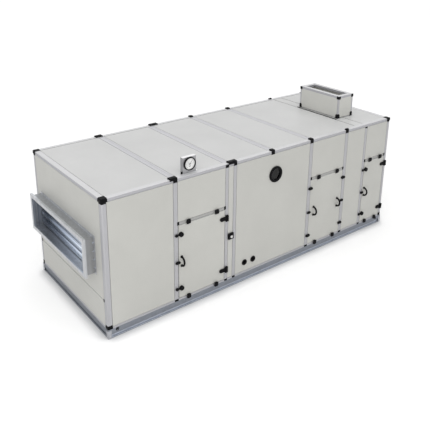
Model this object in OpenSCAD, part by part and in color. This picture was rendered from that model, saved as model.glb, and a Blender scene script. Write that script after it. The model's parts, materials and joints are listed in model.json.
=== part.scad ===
// Air handling unit: sandwich panels in extruded aluminium profiles on a galvanised
// base frame, with two hinged service doors, a lift-off panel, a louvre damper on the
// inlet end and an open discharge box on the roof.
// The origin is under the middle of the casing, on the floor. The length runs along X
// from the inlet end to the discharge end, and the service side faces -Y.

/* [Bays along the service side] */
// Width of the air inlet bay
inlet_bay_w = 631; // [450:1:900]
// Width of the filter bay, closed by door 1
filter_bay_w = 527; // [400:1:800]
// Width of the strip between the two modules
strip_w = 62; // [62:1:120]
// Width of the coil bay
coil_bay_w = 955; // [800:1:1400]
// Width of the bay with the lift-off panel
access_bay_w = 491; // [380:1:800]
// Width of the narrow blank bay
narrow_bay_w = 279; // [240:1:500]
// Width of the fan bay, closed by door 3
fan_bay_w = 347; // [300:1:700]

/* [Casing] */
// Depth of the casing from the service side to the back
casing_w = 1370; // [1250:1:2000]
// Height of the casing above the base frame
casing_h = 1202; // [1150:1:1800]
// Thickness of the sandwich panels
panel_t = 40; // [25:1:50]
// Gap round a fixed panel
seam = 3.5; // [2:0.5:5]
// Gap between the roof panels and the long top rails
roof_seam = 0.5; // [0.3:0.1:2]
// Height of the door openings above the bottom rail
door_open_h = 739; // [500:1:800]
// Height of the joint between the two panels of the inlet end, above the bottom rail
inlet_joint_h = 252; // [100:1:330]

/* [Profiles] */
// Face width of a main post
post_w = 41; // [30:1:60]
// Face width of a slim post
slim_post_w = 33; // [24:1:50]
// Height of the top rail's face
top_rail_h = 28; // [26:1:45]
// Height of the bottom rail's face
bottom_rail_h = 20; // [16:1:30]
// Height of the bars over the doors
bar_h = 26; // [20:1:40]
// Thickness of the leg under a top rail
rail_leg_t = 10; // [8:1:16]
// Thickness of the lips that the panels rest on
lip_t = 3; // [2:0.5:5]
// Reach of the lips behind a panel
lip_reach = 15; // [10:1:20]
// Wall of the hollow profiles
profile_wall = 3; // [2:0.5:5]
// Radius of the rounded outer edges
edge_r = 12; // [6:1:14]
// Radius of the top rails' outer edge
rail_edge_r = 3; // [2:0.5:4]
// Height of the groove under that edge
rail_groove = 2; // [1:0.5:3]
// Distance of that groove below the roof
rail_groove_down = 4; // [4:0.5:8]
// How far the small plastic caps stand proud of the profiles
cap_proud = 1.5; // [0.5:0.5:3]
// How far the plastic corners and the connectors stand proud of the top rails
connector_proud = 4; // [2:0.5:6]
// Height of the connectors' blocks on the roof
connector_h = 8; // [4:0.5:12]
// Depth of those blocks over the rail
connector_reach = 40; // [30:1:80]
// How far the first of those blocks reaches past its post
connector_side = 34; // [10:1:50]
// Width of the small plastic caps at the ends of the bars
end_cap_w = 8; // [5:1:14]
// How far those caps lap over the posts and the bars
end_cap_lap = 6; // [3:1:8]
// Height of the plastic corners at the bottom
corner_foot_h = 38; // [24:1:60]

/* [Base frame] */
// Height of the base frame
base_h = 88; // [70:1:150]
// Depth of the base rails' flanges
base_flange = 38; // [30:1:60]
// Sheet thickness of the base frame
base_t = 4; // [3:0.5:6]
// Height of the base rails' lower lip
base_lip = 9; // [6:1:14]
// Height of the base rails' upper lip, which carries the lifting holes
base_upper_lip = 47; // [40:1:52]
// Setback of the base rails' web behind their lips
base_step = 10; // [6:1:16]
// Width of a cross member
cross_w = 60; // [40:1:100]
// Distance between cross members
cross_pitch = 1120; // [700:1:1500]
// Radius of the lifting holes
lift_hole_r = 12; // [8:0.5:13]
// Distance of the lifting holes below the top of the base frame
lift_hole_down = 18; // [17:0.5:24]
// Distance of the lifting holes from the ends
lift_hole_in = 88; // [75:1:200]
// Leg of the corner brackets
bracket_leg = 30; // [24:1:65]
// Height of the corner brackets
bracket_h = 76; // [50:1:88]
// Sheet thickness of the corner brackets
bracket_t = 3; // [2:0.5:5]

/* [Doors] */
// Gap round a door
door_gap = 5; // [5:0.5:8]
// Gap at the latch side of a door, which swings a little past its width
latch_gap = 8; // [8:0.5:14]
// Gap behind a door for its seal
seal_gap = 5; // [5:0.5:8]
// Distance of the hinge pin in front of the door's face
pin_out = 11; // [11:0.5:16]
// Distance of the hinge pin from the door opening's edge
pin_in = 8; // [6:0.5:12]
// Radius of the hinge pin
pin_r = 4; // [3:0.25:5]
// Running clearance of the hinge pin
pin_clear = 0.05; // [0.02:0.01:0.1]
// Radius of the hinge knuckles
knuckle_r = 8; // [7:0.5:9]
// Height of a hinge
hinge_h = 60; // [40:1:80]
// Length of the hinge leaf on the door
leaf_len = 58; // [45:1:70]
// Height of the knuckles at the ends of a hinge
hinge_ear = 11; // [8:1:15]
// Height of the lower hinges and latches above the bottom of the door opening
fitting_low = 106; // [80:1:160]
// Distance of the upper hinges and latches below the top of the door opening
fitting_high = 92; // [70:1:160]
// Radius of the bow handles at the middle of their section
bow_r = 45; // [30:1:60]
// Radius of the bow handles' section
bow_section_r = 9; // [5:0.5:10]
// Height of the handles above the bottom rail
handle_h = 375; // [200:1:420]
// Distance of the doors' latches from the edge of the opening
latch_in = 29; // [28:1:50]
// Distance of the lift-off panel's handles from the edge of the opening
access_handle_in = 64; // [40:1:90]
// Radius of the latch knobs
latch_r = 22; // [15:0.5:24]
// Side of the clamp knobs above and below the doors
clamp_w = 42; // [30:1:46]
// Distance of the clamp knobs from the sides of a wide opening
clamp_in = 106; // [70:1:140]
// Clearance of latches in front of the posts
latch_clear = 5; // [5:0.5:8]

/* [Damper] */
// Number of blades
blade_count = 4; // [3:1:4]
// Distance between blade shafts
blade_pitch = 79; // [60:1:90]
// Gap between the edges of closed blades, and round them
blade_gap = 5; // [5:0.5:8]
// Length of the blades
blade_len = 1064; // [700:1:1100]
// Thickness of the folds at the blades' edges
blade_t = 2.5; // [2:0.5:4]
// Half of the blades' thickness at the middle
blade_tube_r = 9; // [7:0.5:12]
// Radius of the blade shafts
shaft_r = 6; // [4:0.5:8]
// Running clearance of the blade shafts
shaft_clear = 0.05; // [0.02:0.01:0.1]
// Depth of the blade shafts behind the front flange
blade_in = 92; // [86:1:94]
// Depth of the damper frame
damper_d = 104; // [95:1:150]
// Sheet thickness of the damper frame
damper_t = 3; // [2:0.5:5]
// Width of the damper's flanges
damper_flange = 20; // [18:1:35]
// Reach of the front flange and the side stops into the mouth
damper_rim = 14; // [6:1:16]
// Depth of the fold round the front flange
damper_fold = 20; // [10:1:30]
// Radius of the flange's corner holes
flange_hole_r = 4.5; // [3:0.5:6]
// Height of the damper's middle above the floor
damper_z = 731; // [600:1:900]
// Distance of the damper's middle behind the casing's middle
damper_y = 20; // [-5:1:55]

/* [Discharge box] */
// Width of the discharge box along the unit
duct_w = 234; // [200:1:300]
// Length of the discharge box across the unit
duct_l = 584; // [400:1:900]
// Height of the discharge box
duct_h = 254; // [120:1:400]
// Distance of the discharge box from the discharge end
duct_in = 279; // [220:1:330]
// Distance of the discharge box from the service side
duct_front = 324; // [200:1:400]
// Width of its rim
rim_w = 45; // [30:1:55]
// Thickness of its walls and edge posts
duct_wall_t = 18; // [14:1:30]
// Height of its rim
rim_h = 26; // [16:1:40]
// Height of its foot
duct_foot_h = 10; // [8:1:24]
// Inset of its foot
duct_foot_in = 14; // [3:1:15]
// Width of its plastic corner caps
duct_cap = 24; // [16:1:30]
// Height of its lower corner caps
duct_cap_low = 40; // [24:1:60]
// Height of its upper corner caps
duct_cap_top = 28; // [20:1:40]
// Distance of the upper corner caps below its top
duct_cap_down = 7; // [3:1:12]
// Distance of the roof's first joint behind the main post
roof_joint_in = 150; // [80:1:160]
// Width of the roof crossbars
crossbar_w = 60; // [50:1:80]
// Distance of the free crossbar into the coil bay
free_bar_in = 427; // [300:1:600]

/* [Fittings] */
// Radius of the porthole's ring
porthole_r = 82; // [60:1:110]
// Radius of the porthole's opening
porthole_hole_r = 64; // [45:1:90]
// Distance of the porthole's middle into the coil bay
porthole_in = 489; // [200:1:600]
// Height of the porthole's middle above the floor
porthole_z = 1044; // [900:1:1100]
// Thickness of the porthole's glass
glass_t = 6; // [4:0.5:10]
// Radius of the pipe grommets
grommet_r = 31; // [25:0.5:40]
// Radius of the hole through a grommet
grommet_hole_r = 20; // [12:0.5:24]
// Distance of the first grommet into the coil bay
grommet_in = 119; // [80:1:300]
// Distance between the grommets
grommet_pitch = 109; // [80:1:160]
// Height of the grommets above the floor
grommet_z = 206; // [160:1:300]
// Side of the isolator's plate
isolator_w = 60; // [45:1:62]
// Thickness of the isolator's plate
isolator_t = 16; // [10:1:24]
// Height of the isolator above the floor
isolator_z = 556; // [300:1:900]
// Width of the gauge's bracket
gauge_w = 140; // [130:1:200]
// Height of the gauge's bracket
gauge_h = 146; // [140:1:200]
// Depth of the gauge's bracket
gauge_d = 36; // [32:1:80]
// Sheet thickness of the gauge's bracket
gauge_t = 2.5; // [1.5:0.5:4]
// Radius of the gauge's bezel
gauge_r = 60; // [50:1:64]
// Height of the dial's middle above the roof
gauge_dial_h = 83; // [70:1:98]
// Distance of the bracket into the filter bay
gauge_in = 90; // [30:1:200]
// Distance of the bracket from the service side
gauge_front = 46; // [46:1:120]

/* [Hidden] */
$fn = 48;

// Colours
aluminium = [0.78, 0.78, 0.81];
galvanised = [0.62, 0.66, 0.70];
panel_grey = [0.76, 0.76, 0.73];
plastic_black = [0.07, 0.07, 0.08];

// Profile sizes that follow from the panels
profile_d = panel_t + lip_t;
top_rail_w = panel_t + rail_leg_t;
door_t = panel_t - seal_gap;

// Sides of the corner caps, which keep the rails' ends apart
top_cap_w = top_rail_w + seam;
bottom_cap_w = profile_d + seam;

// Stations along the length, from the inlet end
x_inlet = profile_d;
x_post1 = x_inlet + inlet_bay_w;
x_filter = x_post1 + post_w;
x_post2a = x_filter + filter_bay_w;
x_strip = x_post2a + slim_post_w;
x_post2b = x_strip + strip_w;
x_coil = x_post2b + slim_post_w;
x_post3 = x_coil + coil_bay_w;
x_access = x_post3 + post_w;
x_post4 = x_access + access_bay_w;
x_narrow = x_post4 + post_w;
x_post5 = x_narrow + narrow_bay_w;
x_fan = x_post5 + slim_post_w;
x_corner = x_fan + fan_bay_w;
casing_len = x_corner + profile_d;
x_free_bar = x_coil + free_bar_in;
x_joint = x_narrow + roof_joint_in;

// Levels above the floor
z_rail = base_h;
z_bay = z_rail + bottom_rail_h;
z_roof = base_h + casing_h;
z_head = z_roof - top_rail_h;
z_leg = z_head - lip_reach;
z_bar = z_bay + door_open_h;
z_upper = z_bar + bar_h;
z_inlet_joint = z_bay + inlet_joint_h;
z_corner = z_rail + corner_foot_h;
lift_hole_z = base_h - lift_hole_down;

// Levels of the hinges and latches
fitting_levels = [z_bay + fitting_low, z_bar - fitting_high];

// Posts as [start, width], and the crossbars of the roof as [start, width]
front_post_list = [[x_post1, post_w], [x_post2a, slim_post_w], [x_post2b, slim_post_w],
    [x_post3, post_w], [x_post4, post_w], [x_post5, slim_post_w]];
back_post_list = [for (i = [0:4]) front_post_list[i]];
bar_side = (crossbar_w - post_w) / 2;
crossbar_list = [[x_post1 - bar_side, crossbar_w], [x_post2a, crossbar_w],
    [x_free_bar - bar_side, crossbar_w], [x_post3 - bar_side, crossbar_w]];

// Connectors on the faces of the top rails as [start, width], at the posts and the free bar
bar_heads = [[x_post1, post_w], [x_post2a, slim_post_w], [x_post2b, slim_post_w],
    [x_free_bar, post_w], [x_post3, post_w]];
front_heads = concat(bar_heads, [[x_post4, post_w]]);
back_heads = concat(bar_heads, [[x_joint - post_w, post_w]]);

// Connectors on the roof as [start, end], before the ends of the crossbars
roof_heads = [[x_post1 - connector_side, x_filter], [x_strip, x_coil],
    [x_free_bar, x_free_bar + post_w], [x_post3, x_access]];

// Blank bays of the service side as [start, width]
blank_bays = [[x_inlet, inlet_bay_w], [x_strip, strip_w], [x_narrow, narrow_bay_w]];
door_bays = [[x_filter, filter_bay_w], [x_access, access_bay_w], [x_fan, fan_bay_w]];
back_bays = [[x_inlet, inlet_bay_w], [x_filter, filter_bay_w], [x_strip, strip_w],
    [x_coil, coil_bay_w], [x_access, access_bay_w], [x_narrow, x_corner - x_narrow]];

// Damper sizes
blade_half = (blade_pitch - blade_gap) / 2;
mouth_h = (blade_count - 1) * blade_pitch + 2 * (blade_half + blade_gap);
mouth_l = blade_len + 2 * blade_gap;
blade_x = blade_in - damper_d;
mouth_z = damper_z - mouth_h / 2;
mouth_y = casing_w / 2 + damper_y - mouth_l / 2;

// Discharge sizes
duct_x = casing_len - duct_in - duct_w;
hole_x = duct_x + rim_w;
hole_w = duct_w - 2 * rim_w;
hole_y = duct_front + rim_w;
hole_l = duct_l - 2 * rim_w;

// Places the children, drawn from the inlet end, the service side and the floor
module in_frame() {
    translate([-casing_len / 2, -casing_w / 2, 0])
        children();
}

// A block between two corners
module block(low, high) {
    translate(low)
        cube(high - low);
}

// An outline of across and up, drawn out along the length
module along_x(start, len) {
    translate([start, 0, 0])
        rotate([90, 0, 90])
            linear_extrude(len)
                children();
}

// An outline of along and up, drawn out across the unit
module along_y(start, len) {
    translate([0, start + len, 0])
        rotate([90, 0, 0])
            linear_extrude(len)
                children();
}

// An outline of along and across, drawn out upwards
module along_z(start, len) {
    translate([0, 0, start])
        linear_extrude(len)
            children();
}

// A round rod along the depth
module rod_y(at, r, len) {
    translate(at)
        rotate([-90, 0, 0])
            cylinder(h = len, r = r);
}

// The children at the service side and mirrored at the back
module front_and_back() {
    children();
    translate([0, casing_w, 0])
        mirror([0, 1, 0])
            children();
}

// The children at the inlet end and mirrored at the discharge end
module both_ends() {
    children();
    translate([casing_len, 0, 0])
        mirror([1, 0, 0])
            children();
}

// A rectangle whose corner at its origin is rounded
module rounded_corner(w, h, r) {
    difference() {
        square([w, h]);
        difference() {
            square([r, r]);
            translate([r, r])
                circle(r);
        }
    }
}

// Outline of a top rail, inwards from the face and down from the roof
module top_rail_outline() {
    difference() {
        union() {
            translate([0, z_roof])
                mirror([0, 1])
                    rounded_corner(top_rail_w, top_rail_h, rail_edge_r);
            translate([panel_t, z_leg])
                square([rail_leg_t, lip_reach]);
        }
        translate([profile_wall, z_head + profile_wall])
            square([top_rail_w - 2 * profile_wall, top_rail_h - 2 * profile_wall]);
        translate([0, z_roof - rail_groove_down - rail_groove])
            square([profile_wall / 2, rail_groove]);
    }
}

// Outline of the lip that carries the roof panels
module top_rail_lip() {
    translate([top_rail_w, z_roof - profile_d])
        square([lip_reach, lip_t]);
}

// Outline of a bottom rail with its upright lip
module bottom_rail_outline() {
    difference() {
        translate([0, z_rail])
            square([profile_d, bottom_rail_h]);
        translate([profile_wall, z_rail + profile_wall])
            square([profile_d - 2 * profile_wall, bottom_rail_h - 2 * profile_wall]);
    }
    translate([panel_t, z_bay])
        square([lip_t, lip_reach]);
}

// Outline of a base rail: flanges in and out from a web, with lips at the outside
module base_rail_outline() {
    translate([base_step, 0])
        square([base_t, base_h]);
    square([base_flange, base_t]);
    square([base_t, base_lip]);
    translate([0, base_h - base_t])
        square([base_flange, base_t]);
    translate([0, base_h - base_upper_lip])
        square([base_t, base_upper_lip]);
}

module base_rails() {
    color(galvanised)
        in_frame() {
            front_and_back()
                difference() {
                    along_x(0, casing_len)
                        base_rail_outline();
                    for (x = [lift_hole_in, casing_len - lift_hole_in])
                        rod_y([x, 0, lift_hole_z], lift_hole_r, 2 * base_flange);
                }
            both_ends()
                along_y(base_flange, casing_w - 2 * base_flange)
                    base_rail_outline();
        }
}

module base_cross_members() {
    span = casing_w - 2 * base_flange;
    color(galvanised)
        in_frame()
            for (i = [-1:1])
                translate([casing_len / 2 + i * cross_pitch - cross_w / 2, 0, 0])
                    along_y(base_flange, span)
                        difference() {
                            square([cross_w, base_h]);
                            translate([base_t, base_t])
                                square([cross_w - 2 * base_t, base_h - 2 * base_t]);
                        }
}

module base_corner_brackets() {
    color(galvanised)
        in_frame()
            front_and_back()
                both_ends()
                    difference() {
                        block([-bracket_t, -bracket_t, 0], [bracket_leg, bracket_leg, bracket_h]);
                        block([0, 0, -1], [bracket_leg + 1, bracket_leg + 1, bracket_h + 1]);
                    }
}

// Runs of a rail between its ends and its breaks, as [start, length]
function rail_runs(from, to, breaks) =
    let (starts = concat([from], [for (b = breaks) b[0] + b[1]]),
        ends = concat([for (b = breaks) b[0]], [to]))
    [for (i = [0:len(ends) - 1]) [starts[i], ends[i] - starts[i]]];

// Runs of a bottom rail along the length between its breaks
module long_bottom_rail(breaks) {
    for (run = rail_runs(bottom_cap_w, casing_len - bottom_cap_w, breaks))
        along_x(run[0], run[1])
            bottom_rail_outline();
}

module bottom_rails() {
    color(aluminium)
        in_frame() {
            long_bottom_rail(front_post_list);
            translate([0, casing_w, 0])
                mirror([0, 1, 0])
                    long_bottom_rail(back_post_list);
            both_ends()
                along_y(bottom_cap_w, casing_w - 2 * bottom_cap_w)
                    bottom_rail_outline();
        }
}

module corner_posts() {
    post_h = z_leg - z_corner;
    color(aluminium)
        in_frame()
            front_and_back()
                both_ends() {
                    along_z(z_corner, post_h)
                        difference() {
                            rounded_corner(profile_d, profile_d, edge_r);
                            translate([profile_wall, profile_wall])
                                rounded_corner(profile_d - 2 * profile_wall,
                                    profile_d - 2 * profile_wall, edge_r - profile_wall);
                        }
                    along_z(z_corner, post_h)
                        translate([profile_d, panel_t])
                            square([lip_reach, lip_t]);
                    along_z(z_corner, post_h)
                        translate([panel_t, profile_d])
                            square([lip_t, lip_reach]);
                }
}

// A post of the service side: a tube with a plate of lips behind it
module post(start, w) {
    along_z(z_bay, z_head - z_bay)
        translate([start, 0])
            difference() {
                square([w, panel_t]);
                translate([profile_wall, profile_wall])
                    square([w - 2 * profile_wall, panel_t - 2 * profile_wall]);
            }
    along_z(z_bay + lip_reach, z_leg - z_bay - lip_reach)
        translate([start - lip_reach, panel_t])
            square([w + 2 * lip_reach, lip_t]);
}

module front_posts() {
    color(aluminium)
        in_frame()
            for (p = front_post_list)
                post(p[0], p[1]);
}

module back_posts() {
    color(aluminium)
        in_frame()
            translate([0, casing_w, 0])
                mirror([0, 1, 0])
                    for (p = back_post_list)
                        post(p[0], p[1]);
}

// A top rail along the length
module long_top_rail() {
    along_x(top_cap_w, casing_len - 2 * top_cap_w) {
        top_rail_outline();
        top_rail_lip();
    }
}

module top_rails() {
    lip_start = top_rail_w + lip_reach + seam;
    color(aluminium)
        in_frame() {
            front_and_back()
                long_top_rail();
            both_ends() {
                along_y(top_cap_w, casing_w - 2 * top_cap_w)
                    top_rail_outline();
                along_y(lip_start, casing_w - 2 * lip_start)
                    top_rail_lip();
            }
        }
}

// Strip that carries a roof joint from below
module joint_strip(start, from, to) {
    block([start - lip_reach, from, z_roof - profile_d], [start + lip_reach, to, z_roof - panel_t]);
}

module roof_crossbars() {
    near = top_rail_w + lip_reach;
    groove_d = profile_wall / 2;
    color(aluminium)
        in_frame() {
            for (b = crossbar_list) {
                translate([b[0], 0, 0])
                    along_y(top_rail_w, casing_w - 2 * top_rail_w)
                        difference() {
                            translate([0, z_roof - panel_t])
                                square([b[1], panel_t]);
                            translate([profile_wall, z_roof - panel_t + profile_wall])
                                square([b[1] - 2 * profile_wall, panel_t - 2 * profile_wall]);
                            translate([b[1] * 0.6, z_roof - groove_d])
                                square([seam, profile_wall]);
                        }
                block([b[0] - lip_reach, near, z_roof - profile_d],
                    [b[0] + b[1] + lip_reach, casing_w - near, z_roof - panel_t]);
            }
            joint_strip(x_joint, near, casing_w - near);
            joint_strip(x_post5, near, hole_y);
            joint_strip(x_post5, hole_y + hole_l, casing_w - near);
        }
}

// Bar over a door opening, with lips above and below
module door_bar(start, w) {
    block([start + end_cap_w, 0, z_bar], [start + w - end_cap_w, panel_t, z_upper]);
    block([start + lip_reach, panel_t, z_bar - lip_reach],
        [start + w - lip_reach, profile_d, z_upper + lip_reach]);
}

module door_bars() {
    color(panel_grey)
        in_frame() {
            for (b = door_bays)
                door_bar(b[0], b[1]);
            block([panel_t, profile_d + lip_reach, z_inlet_joint - lip_reach],
                [profile_d, casing_w - profile_d - lip_reach, z_inlet_joint + lip_reach]);
        }
}

// Rounded block of a corner cap between the level low and the roof
module rounded_cap(side, low, r) {
    intersection() {
        along_z(low, z_roof - low)
            rounded_corner(side, side, r);
        along_x(0, side)
            translate([0, z_roof])
                mirror([0, 1])
                    rounded_corner(side, z_roof - low, r);
        along_y(0, side)
            translate([0, z_roof])
                mirror([0, 1])
                    rounded_corner(side, z_roof - low, r);
    }
}

module corner_caps() {
    color(plastic_black)
        in_frame()
            front_and_back()
                both_ends() {
                    translate([-connector_proud, -connector_proud, connector_proud])
                        rounded_cap(top_cap_w + connector_proud, z_head - connector_proud, edge_r);
                    along_z(z_leg, lip_reach)
                        rounded_corner(profile_d, profile_d, edge_r);
                    along_z(z_rail, bottom_rail_h)
                        rounded_corner(bottom_cap_w, bottom_cap_w, edge_r);
                    along_z(z_bay, z_corner - z_bay)
                        rounded_corner(profile_d, profile_d, edge_r);
                }
}

// Block of a connector on the face of a top rail, at the head of a post
module face_block(start, w) {
    block([start, -connector_proud, z_head - end_cap_lap],
        [start + w, 0, z_roof - rail_groove_down - rail_groove]);
}

// Block of a connector on the roof, over the top rail
module roof_block(from, to, reach) {
    block([from, 0, z_roof], [to, reach, z_roof + connector_h]);
}

// Small cap between the end of a bar and a post, with a cover over their faces
module bar_end_cap(start) {
    block([start, -cap_proud, z_bar], [start + end_cap_w, panel_t, z_upper]);
    block([start - end_cap_lap, -cap_proud, z_bar],
        [start + end_cap_w + end_cap_lap, 0, z_upper + end_cap_lap]);
}

module rail_connectors() {
    color(plastic_black)
        in_frame() {
            for (h = front_heads)
                face_block(h[0], h[1]);
            for (p = front_post_list)
                block([p[0], -cap_proud, z_rail], [p[0] + p[1], profile_d, z_bay]);
            roof_block(x_post4, x_narrow, connector_reach / 2);
            for (b = door_bays) {
                bar_end_cap(b[0]);
                bar_end_cap(b[0] + b[1] - end_cap_w);
            }
            block([x_post5, -cap_proud, z_head - 2 * end_cap_w],
                [x_post5 + slim_post_w, 0, z_head]);
            translate([0, casing_w, 0])
                mirror([0, 1, 0]) {
                    for (h = back_heads)
                        face_block(h[0], h[1]);
                    for (p = back_post_list)
                        block([p[0], -cap_proud, z_rail], [p[0] + p[1], profile_d, z_bay]);
                    roof_block(x_joint - post_w, x_joint, connector_reach / 2);
                }
            front_and_back() {
                for (h = roof_heads)
                    roof_block(h[0], h[1], connector_reach);
                block([-cap_proud, profile_d - end_cap_w, z_inlet_joint - end_cap_w - end_cap_lap],
                    [0, profile_d + end_cap_w, z_inlet_joint + end_cap_w + end_cap_lap]);
            }
        }
}

// A flat panel of the service side that fills a bay between two levels
module bay_panel(start, w, low, high) {
    block([start + seam, 0, low + seam], [start + w - seam, panel_t, high - seam]);
}

module floor_panels() {
    inner = casing_w - profile_d - seam;
    color(panel_grey)
        in_frame()
            for (run = [[profile_d + seam, x_post2b - seam], [x_post2b, x_post4 - seam],
                    [x_post4, casing_len - profile_d - seam]])
                block([run[0], profile_d + seam, z_rail], [run[1], inner, z_rail + panel_t]);
}

module front_panels() {
    color(panel_grey)
        in_frame() {
            for (b = blank_bays)
                bay_panel(b[0], b[1], z_bay, z_head);
            for (b = door_bays)
                bay_panel(b[0], b[1], z_upper, z_head);
        }
}

module coil_panel() {
    color(panel_grey)
        in_frame()
            difference() {
                bay_panel(x_coil, coil_bay_w, z_bay, z_head);
                rod_y([x_coil + porthole_in, -1, porthole_z], porthole_hole_r, panel_t + 2);
                for (i = [0:1])
                    rod_y([x_coil + grommet_in + i * grommet_pitch, -1, grommet_z],
                        grommet_neck_r(), panel_t + 2);
            }
}

// Roof panel between two stations
module roof_panel(from, to) {
    block([from + seam, top_rail_w + roof_seam, z_roof - panel_t],
        [to - seam, casing_w - top_rail_w - roof_seam, z_roof]);
}

module roof_panels() {
    color(panel_grey)
        in_frame()
            difference() {
                union() {
                    for (run = rail_runs(top_rail_w, x_joint, crossbar_list))
                        roof_panel(run[0], run[0] + run[1]);
                    roof_panel(x_joint, x_post5);
                    roof_panel(x_post5, casing_len - top_rail_w);
                }
                block([hole_x, hole_y, z_roof - panel_t - 1],
                    [hole_x + hole_w, hole_y + hole_l, z_roof + 1]);
            }
}

module back_panels() {
    color(panel_grey)
        in_frame()
            translate([0, casing_w, 0])
                mirror([0, 1, 0])
                    for (b = back_bays)
                        bay_panel(b[0], b[1], z_bay, z_head);
}

// Panel of the inlet end between two levels
module end_panel(low, high) {
    block([0, profile_d + seam, low + seam], [panel_t, casing_w - profile_d - seam, high - seam]);
}

module inlet_end_panels() {
    color(panel_grey)
        in_frame() {
            end_panel(z_bay, z_inlet_joint);
            difference() {
                end_panel(z_inlet_joint, z_head);
                block([-1, mouth_y, mouth_z], [panel_t + 1, mouth_y + mouth_l, mouth_z + mouth_h]);
            }
        }
}

module discharge_end_panel() {
    color(panel_grey)
        in_frame()
            translate([casing_len, 0, 0])
                mirror([1, 0, 0])
                    end_panel(z_bay, z_head);
}

module porthole_ring() {
    ring_h = 14;
    lip = porthole_r - porthole_hole_r;
    color(plastic_black)
        in_frame()
            translate([x_coil + porthole_in, 0, porthole_z])
                rotate([90, 0, 0])
                    rotate_extrude()
                        translate([porthole_hole_r - ring_h / 2, 0])
                            difference() {
                                square([lip + ring_h / 2, ring_h]);
                                translate([lip + ring_h / 2, ring_h])
                                    rotate(180)
                                        rounded_notch(ring_h / 2);
                                translate([0, ring_h])
                                    mirror([0, 1])
                                        rounded_notch(ring_h / 2);
                            }
}

// What a round of radius r takes off a corner at the origin
module rounded_notch(r) {
    difference() {
        square([r, r]);
        translate([r, r])
            circle(r);
    }
}

module porthole_glass() {
    color([0.1, 0.12, 0.14])
        in_frame()
            rod_y([x_coil + porthole_in, 0, porthole_z], porthole_hole_r - 0.3, glass_t);
}

// Radius of a grommet's neck in the panel
function grommet_neck_r() = (grommet_r + grommet_hole_r) / 2;

module pipe_grommets() {
    flange_t = 6;
    color(plastic_black)
        in_frame()
            for (i = [0:1])
                translate([x_coil + grommet_in + i * grommet_pitch, 0, grommet_z])
                    difference() {
                        union() {
                            rod_y([0, -flange_t, 0], grommet_r, flange_t);
                            rod_y([0, 0, 0], grommet_neck_r() - 0.3, panel_t);
                        }
                        rod_y([0, -flange_t - 1, 0], grommet_hole_r, panel_t + flange_t + 2);
                    }
}

// Middle of the isolator on the strip's face
function isolator_at() = [x_strip + strip_w / 2, 0, isolator_z];

module isolator_switch() {
    half = isolator_w / 2;
    color(plastic_black)
        in_frame()
            translate(isolator_at())
                difference() {
                    block([-half, -isolator_t, -half], [half, 0, half]);
                    rod_y([0, -isolator_t - 1, 0], shaft_r + shaft_clear, isolator_t);
                }
}

module isolator_knob() {
    stem = 10;
    dial_r = 19;
    grip_w = 9;
    grip_h = 13;
    color(panel_grey)
        in_frame()
            translate(isolator_at() + [0, -isolator_t, 0]) {
                rod_y([0, -1, 0], shaft_r, stem);
                rod_y([0, -6, 0], dial_r, 5.7);
                block([-grip_w / 2, -grip_h, 3 - dial_r], [grip_w / 2, -5, dial_r - 3]);
            }
}

module gauge_bracket() {
    foot = 14;
    color(aluminium)
        in_frame()
            translate([x_filter + gauge_in, gauge_front, z_roof])
                difference() {
                    union() {
                        difference() {
                            block([0, 0, 0], [gauge_w, gauge_d, gauge_h]);
                            block([gauge_t, gauge_t, -1],
                                [gauge_w - gauge_t, gauge_d + 1, gauge_h - gauge_t]);
                        }
                        block([-foot, 0, 0], [gauge_t, gauge_d, gauge_t]);
                        block([gauge_w - gauge_t, 0, 0], [gauge_w + foot, gauge_d, gauge_t]);
                    }
                    rod_y([gauge_w / 2, -1, gauge_dial_h], gauge_r - 9.7, gauge_t + 2);
                }
}

module gauge() {
    bezel_t = 12;
    body_d = 30;
    face_in = 5;
    color(plastic_black)
        in_frame()
            translate([x_filter + gauge_in + gauge_w / 2, gauge_front, z_roof + gauge_dial_h])
                difference() {
                    union() {
                        rod_y([0, -bezel_t, 0], gauge_r, bezel_t);
                        rod_y([0, 0, 0], gauge_r - 10, body_d);
                    }
                    rod_y([0, -bezel_t - 1, 0], gauge_r - 9, face_in + 1);
                }
}

// A rectangle across and up round the damper's mouth, wider by more
module mouth_outline(more) {
    translate([mouth_y - more, mouth_z - more])
        square([mouth_l + 2 * more, mouth_h + 2 * more]);
}

// Middle of each corner hole from the edge of the mouth
flange_hole_out = damper_flange / 2 + damper_t / 2;

// A ring round the damper's mouth between two widths, drawn out along the length
module mouth_ring(start, len, inner, outer) {
    along_x(start, len)
        difference() {
            mouth_outline(outer);
            mouth_outline(inner);
        }
}

module damper_frame() {
    stop_x = blade_x - blade_half - blade_gap - damper_t;
    color(galvanised)
        in_frame()
            difference() {
                union() {
                    mouth_ring(-damper_d, damper_t, -damper_rim, damper_flange);
                    mouth_ring(-damper_d, damper_fold, damper_flange - damper_t, damper_flange);
                    mouth_ring(-damper_d, damper_d, 0, damper_t);
                    mouth_ring(-damper_t, damper_t, 0, damper_flange);
                    for (y = [mouth_y - damper_t, mouth_y + mouth_l - damper_rim])
                        block([stop_x, y, mouth_z], [stop_x + damper_t, y + damper_rim + damper_t,
                            mouth_z + mouth_h]);
                }
                for (i = [0:blade_count - 1])
                    rod_y([blade_x, mouth_y - damper_t - 1, blade_z(i)], shaft_r + shaft_clear,
                        mouth_l + 2 * damper_t + 2);
                for (y = [mouth_y - flange_hole_out, mouth_y + mouth_l + flange_hole_out])
                    for (z = [mouth_z - flange_hole_out, mouth_z + mouth_h + flange_hole_out])
                        translate([-damper_d - 1, y, z])
                            rotate([0, 90, 0])
                                cylinder(h = damper_t + 2, r = flange_hole_r);
            }
}

// Height of a blade's shaft, counted from the top
function blade_z(i) = damper_z + ((blade_count - 1) / 2 - i) * blade_pitch;

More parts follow.
